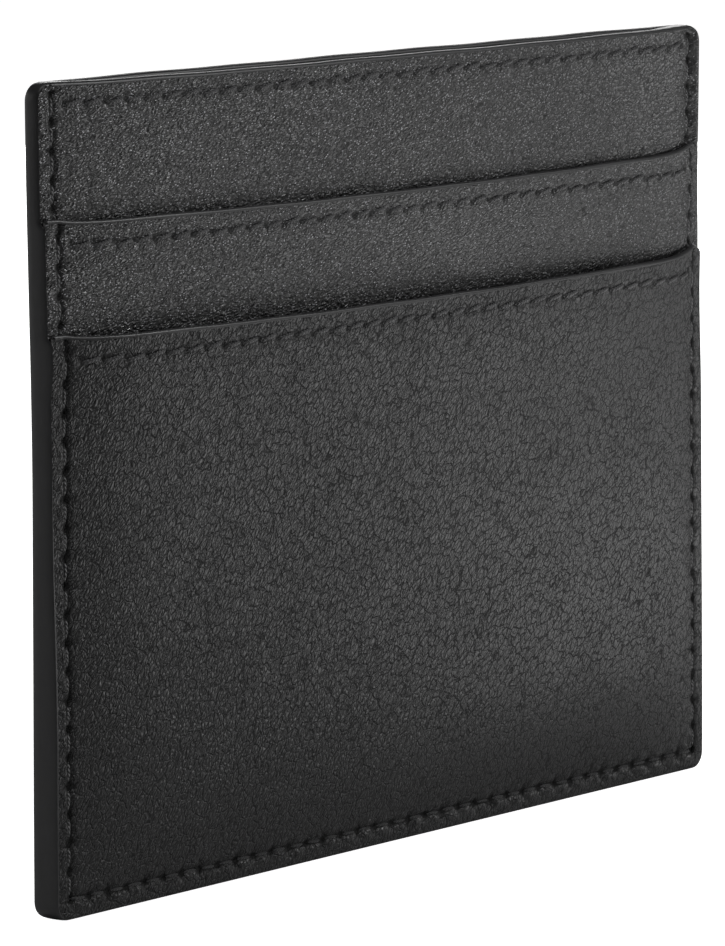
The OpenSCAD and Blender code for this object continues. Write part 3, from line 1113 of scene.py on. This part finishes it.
def thread_material():
    """Waxed black thread, twisted from three strands, with painted highlights on the strand crests and
    painted shade between them.
    """
    finish = settings().finish
    material, tree, shader, place = new_material("Waxed thread")
    along = join(tree, "ShaderNodeAttribute", {}, attribute_name="thread_along").outputs["Fac"]
    around = join(tree, "ShaderNodeAttribute", {}, attribute_name="thread_around").outputs["Fac"]
    lay, strands = 1.1 * MM, 3.0
    turn = calc(tree, "MULTIPLY_ADD", along, 1.0 / lay, around)
    strand = calc(tree, "SINE", calc(tree, "MULTIPLY", turn, strands * math.pi))
    strand = calc(tree, "ABSOLUTE", strand)
    fuzz = noise(tree, place, 14.0, 2.0)[0]
    # Painted highlight and shade: the strand crests are lighter and the grooves between them darker.
    colour = blend_colour(tree, strand, rgba(finish.thread, 0.35), rgba(finish.thread, 1.5))
    roughness = calc(tree, "MULTIPLY_ADD", fuzz, 0.25, 0.3)
    height = calc(tree, "MULTIPLY_ADD", fuzz, 0.3, strand)
    coat(tree, shader, colour, roughness, height, 0.14 * MM)
    return material


def cloth_material(name, groups, colour_in, count):
    """A matte woven cloth."""
    material, tree, shader, place = new_material(name)
    weave = place_group(tree, groups["weave"], {"Place": place, "Threads": count})
    # Painted shade: the weave's low places are darker.
    colour = blend_colour(tree, weave["Painted Shade"], rgba(colour_in, 0.6), rgba(colour_in, 1.3))
    roughness = remap(tree, weave["Height"], 0.0, 1.0, 0.9, 0.7)
    shader.inputs["Sheen Weight"].default_value = 0.2
    coat(tree, shader, colour, roughness, weave["Height"], 0.04 * MM)
    return material


def fibre_material():
    """Bonded fibre paper of the stiffener."""
    material, tree, shader, place = new_material("Bonded fibre")
    fibres = noise(tree, place, 2.5, 5.0)[0]
    colour = blend_colour(tree, fibres, (0.25, 0.23, 0.2, 1.0), (0.45, 0.43, 0.39, 1.0))
    roughness = remap(tree, fibres, 0.3, 0.7, 0.75, 0.95)
    coat(tree, shader, colour, roughness, fibres, 0.03 * MM)
    return material


def cement_material():
    """Dried contact cement, slightly lumpy."""
    material, tree, shader, place = new_material("Contact cement")
    lumps = noise(tree, place, 1.4, 4.0)[0]
    colour = blend_colour(tree, lumps, (0.3, 0.22, 0.1, 1.0), (0.55, 0.45, 0.25, 1.0))
    roughness = remap(tree, lumps, 0.3, 0.7, 0.35, 0.6)
    coat(tree, shader, colour, roughness, lumps, 0.03 * MM)
    return material


def floor_material():
    """A plain pale floor."""
    material, tree, shader, place = new_material("Pale floor")
    cloud = noise(tree, place, 0.004, 2.0)[0]
    colour = blend_colour(tree, cloud, (0.76, 0.76, 0.76, 1.0), (0.8, 0.8, 0.8, 1.0))
    tree.links.new(colour, shader.inputs["Base Color"])
    shader.inputs["Roughness"].default_value = 0.7
    shader.inputs["Specular IOR Level"].default_value = 0.2
    seen = tree.nodes.new("ShaderNodeLightPath").outputs["Is Camera Ray"]
    glow = join(tree, "ShaderNodeEmission", {"Color": (1.0, 1.0, 1.0, 1.0), "Strength": 1.0})
    lit = tree.nodes.new("ShaderNodeAddShader")
    tree.links.new(shader.outputs[0], lit.inputs[0])
    tree.links.new(glow.outputs[0], lit.inputs[1])
    mixed = join(
        tree, "ShaderNodeMixShader", {0: seen, 1: shader.outputs[0], 2: lit.outputs[0]})
    out = next(node for node in tree.nodes if node.type == "OUTPUT_MATERIAL")
    tree.links.new(mixed.outputs[0], out.inputs["Surface"])
    return material


MATERIALS = {}


def materials():
    """Makes each material once."""
    if MATERIALS:
        return MATERIALS
    finish = settings().finish
    groups = {"grain": grain_group(), "scuff": scuff_group(), "weave": weave_group()}
    MATERIALS["leather"] = leather_material(
        "Pebbled leather", groups, stretch=2.2, slant=math.radians(-72.0), creases=0.5,
        specks=1.0, relief=finish.relief, rough=finish.leather_rough)
    MATERIALS["creased"] = leather_material(
        "Creased leather", groups, stretch=1.9, slant=math.radians(-42.0), creases=1.0,
        specks=0.12, relief=finish.relief * 0.9, rough=finish.leather_rough + 0.06)
    MATERIALS["paint"] = paint_material(groups)
    MATERIALS["thread"] = thread_material()
    MATERIALS["lining"] = cloth_material("Twill lining", groups, finish.lining, 4.0)
    MATERIALS["fibre"] = fibre_material()
    MATERIALS["cement"] = cement_material()
    return MATERIALS


# ---- Stage ----

def area_light(name, place, aim, size_x, size_y, power):
    """A soft rectangular light that faces a point."""
    data = bpy.data.lights.new(name, "AREA")
    data.shape = "RECTANGLE"
    data.size = size_x
    data.size_y = size_y
    data.energy = power
    lamp = bpy.data.objects.new(name, data)
    lamp.location = place
    lamp.rotation_euler = (Vector(aim) - Vector(place)).to_track_quat("-Z", "Y").to_euler()
    bpy.context.scene.collection.objects.link(lamp)


def make_world():
    """A white backdrop that lights the holder only softly."""
    world = bpy.data.worlds.new("Studio")
    world.use_nodes = True
    tree = world.node_tree
    tree.nodes.clear()
    seen = join(tree, "ShaderNodeBackground", {"Color": (1.0, 1.0, 1.0, 1.0), "Strength": 1.0})
    lit = join(tree, "ShaderNodeBackground", {"Color": (1.0, 1.0, 1.0, 1.0), "Strength": 0.03})
    ray = tree.nodes.new("ShaderNodeLightPath").outputs["Is Camera Ray"]
    mixed = join(tree, "ShaderNodeMixShader", {0: ray, 1: lit.outputs[0], 2: seen.outputs[0]})
    out = tree.nodes.new("ShaderNodeOutputWorld")
    tree.links.new(mixed.outputs[0], out.inputs["Surface"])
    bpy.context.scene.world = world


def make_camera():
    """The camera, from the left front and slightly above."""
    stage = settings().stage
    turn, tilt, roll = stage.azimuth, stage.elevation, stage.roll
    back = Vector((
        math.sin(turn) * math.cos(tilt), -math.cos(turn) * math.cos(tilt), math.sin(tilt)))
    right = Vector((math.cos(turn), math.sin(turn), 0.0))
    up = back.cross(right)
    rolled_right = right * math.cos(roll) + up * math.sin(roll)
    rolled_up = up * math.cos(roll) - right * math.sin(roll)
    axes = Matrix((rolled_right, rolled_up, back)).transposed()
    data = bpy.data.cameras.new("Camera")
    data.lens = stage.lens
    data.sensor_width = 36.0
    camera = bpy.data.objects.new("Camera", data)
    camera.matrix_world = Matrix.Translation(Vector(stage.aim) + back * stage.distance) @ axes.to_4x4()
    bpy.context.scene.collection.objects.link(camera)
    bpy.context.scene.camera = camera


def make_floor():
    """A large pale floor with softly turned-up edges."""
    reach, count = 3.0, 24
    turn_up, flat_share = 0.15, 0.8
    steps = np.linspace(-reach, reach, count + 1)
    vertices = []
    for y in steps:
        for x in steps:
            far = max(abs(x), abs(y)) / reach
            vertices.append((x, y, turn_up * max(0.0, far - flat_share) ** 2))
    faces = [
        (r * (count + 1) + c, r * (count + 1) + c + 1,
         (r + 1) * (count + 1) + c + 1, (r + 1) * (count + 1) + c)
        for r in range(count) for c in range(count)]
    mesh = bpy.data.meshes.new("floor")
    mesh.from_pydata(vertices, [], faces)
    mesh.shade_smooth()
    mesh.materials.append(floor_material())
    floor = bpy.data.objects.new("floor", mesh)
    bpy.context.scene.collection.objects.link(floor)


# ---- Operators ----

class HolderOperator:
    """What every operator of the card holder shares."""
    bl_options = {"REGISTER", "UNDO"}


class CARDHOLDER_OT_panels(HolderOperator, bpy.types.Operator):
    """Make the four outer leather pieces"""
    bl_idname = "cardholder.panels"
    bl_label = "Leather Panels"

    def execute(self, context):
        made = materials()
        leather, creased = made["leather"], made["creased"]
        foot = settings().shape.edge_round
        leather_panel(
            "back_panel", "back_top_thread", shift_back, flat_mouth, foot, TOP_Z, 0.0, leather)
        leather_panel(
            "front_panel", "front_top_thread", shift_sleeve, top_drop, foot, TOP_Z, UPPER_Z,
            leather, 0)
        leather_panel(
            "upper_pocket", "upper_pocket_thread", shift_upper, mouth_rise, STRIP_FOOT_Z, UPPER_Z,
            LOWER_Z, leather, 1, UPPER_Z)
        leather_panel(
            "lower_pocket", "lower_pocket_thread", shift_lower, mouth_rise, foot, LOWER_Z, 0.0,
            creased, 2, LOWER_Z)
        return {"FINISHED"}


class CARDHOLDER_OT_linings(HolderOperator, bpy.types.Operator):
    """Make the linings, the tab, the stiffener, the cement and the seam filler"""
    bl_idname = "cardholder.linings"
    bl_label = "Linings and Inner Layers"

    def execute(self, context):
        made = materials()
        cloth, cement = made["lining"], made["cement"]
        thin_layer("back_stiffener", shift_back, shift_back, flat_mouth, None, made["fibre"], "stiffener")
        thin_layer("back_lining", shift_back, shift_back, flat_mouth, None, cloth, "lining")
        thin_layer("front_lining", shift_sleeve, shift_sleeve, top_drop, TOP_Z, cloth, "lining")
        thin_layer("upper_pocket_tab", shift_upper, shift_upper, mouth_rise, UPPER_Z, cloth, "lining")
        thin_layer("lower_pocket_lining", shift_lower, shift_lower, mouth_rise, LOWER_Z, cloth, "lining")
        cemented = (
            ("centre_pocket_cement", shift_sleeve, shift_back, cement, "cement"),
            ("upper_pocket_cement", shift_upper, shift_sleeve, cement, "cement"),
            ("lower_pocket_cement", shift_lower, shift_filler, cement, "cement"),
            ("seam_filler", shift_filler, shift_upper, made["leather"], "leather"))
        for node, front, rear, material, slot in cemented:
            thin_layer(node, front, rear, flat_mouth, None, material, slot, seam_only=True)
        return {"FINISHED"}


class CARDHOLDER_OT_edges(HolderOperator, bpy.types.Operator):
    """Make the painted side, bottom and mouth edges"""
    bl_idname = "cardholder.edges"
    bl_label = "Painted Edges"

    def execute(self, context):
        paint = materials()["paint"]
        corner_x = HALF_W - CORNER_R
        side_x = HALF_W - 0.35 * MM
        edge_paint(paint)
        mouth_bead(
            "back_mouth_paint", 0, faces_of("back_lining")[0], BACK_Y, shift_back, flat_mouth,
            TOP_Z, corner_x, paint)
        mouth_bead(
            "front_mouth_paint", 0, PANEL_Y, faces_of("front_lining")[1], shift_sleeve, top_drop,
            TOP_Z, corner_x, paint)
        mouth_bead(
            "upper_mouth_paint", 1, UPPER_Y, faces_of("upper_pocket_tab")[1], shift_upper,
            mouth_rise, UPPER_Z, side_x, paint)
        mouth_bead(
            "lower_mouth_paint", 2, LOWER_Y, faces_of("lower_pocket_lining")[1], shift_lower,
            mouth_rise, LOWER_Z, side_x, paint)
        return {"FINISHED"}


class CARDHOLDER_OT_threads(HolderOperator, bpy.types.Operator):
    """Make the stitches of every seam and row"""
    bl_idname = "cardholder.threads"
    bl_label = "Thread"

    def execute(self, context):
        threads(materials()["thread"])
        return {"FINISHED"}


class CARDHOLDER_OT_stage(HolderOperator, bpy.types.Operator):
    """Make the floor, the lights and the camera"""
    bl_idname = "cardholder.stage"
    bl_label = "Stage"

    def execute(self, context):
        context.scene.view_settings.view_transform = "Standard"
        make_world()
        make_camera()
        make_floor()
        middle = (0.0, 0.0, 0.5 * TOP_Z)
        area_light("Key light", (0.25, -0.26, 0.29), middle, 0.06, 0.06, 0.5)
        area_light("Right softbox", (0.6, -0.35, 0.04), middle, 0.3, 0.16, 0.45)
        area_light("Low card", (0.1, -0.09, 0.003), (0.1, -0.09, 1.0), 0.15, 0.12, 0.1)
        area_light("Rear left softbox", (-0.25, 0.6, 0.2), middle, 0.6, 0.4, 0.8)
        area_light("Rear right softbox", (0.6, 0.5, 0.15), middle, 0.7, 0.5, 4.0)
        area_light("Top softbox", (-0.1, -0.1, 0.9), middle, 0.6, 0.6, 2.3)
        return {"FINISHED"}


class CARDHOLDER_PT_sidebar(bpy.types.Panel):
    """Lists the card holder's operators"""
    bl_label = "Card Holder"
    bl_idname = "CARDHOLDER_PT_sidebar"
    bl_space_type = "VIEW_3D"
    bl_region_type = "UI"
    bl_category = "Card Holder"

    def draw(self, context):
        for operator in OPERATORS:
            self.layout.operator(operator.bl_idname)


OPERATORS = (
    CARDHOLDER_OT_panels, CARDHOLDER_OT_linings, CARDHOLDER_OT_edges, CARDHOLDER_OT_threads,
    CARDHOLDER_OT_stage)
CLASSES = (
    HolderShape, SeamSizes, HolderFinish, StageSizes, HolderSettings, *OPERATORS,
    CARDHOLDER_PT_sidebar)


def register():
    """Registers the classes and the scene's settings."""
    for item in CLASSES:
        bpy.utils.register_class(item)
    bpy.types.Scene.card_holder = bpy.props.PointerProperty(type=HolderSettings)


def unregister():
    """Removes what register added."""
    del bpy.types.Scene.card_holder
    for item in reversed(CLASSES):
        bpy.utils.unregister_class(item)


def main():
    register()
    bpy.ops.cardholder.panels()
    bpy.ops.cardholder.linings()
    bpy.ops.cardholder.edges()
    bpy.ops.cardholder.threads()
    bpy.ops.cardholder.stage()


if __name__ == "__main__":
    main()
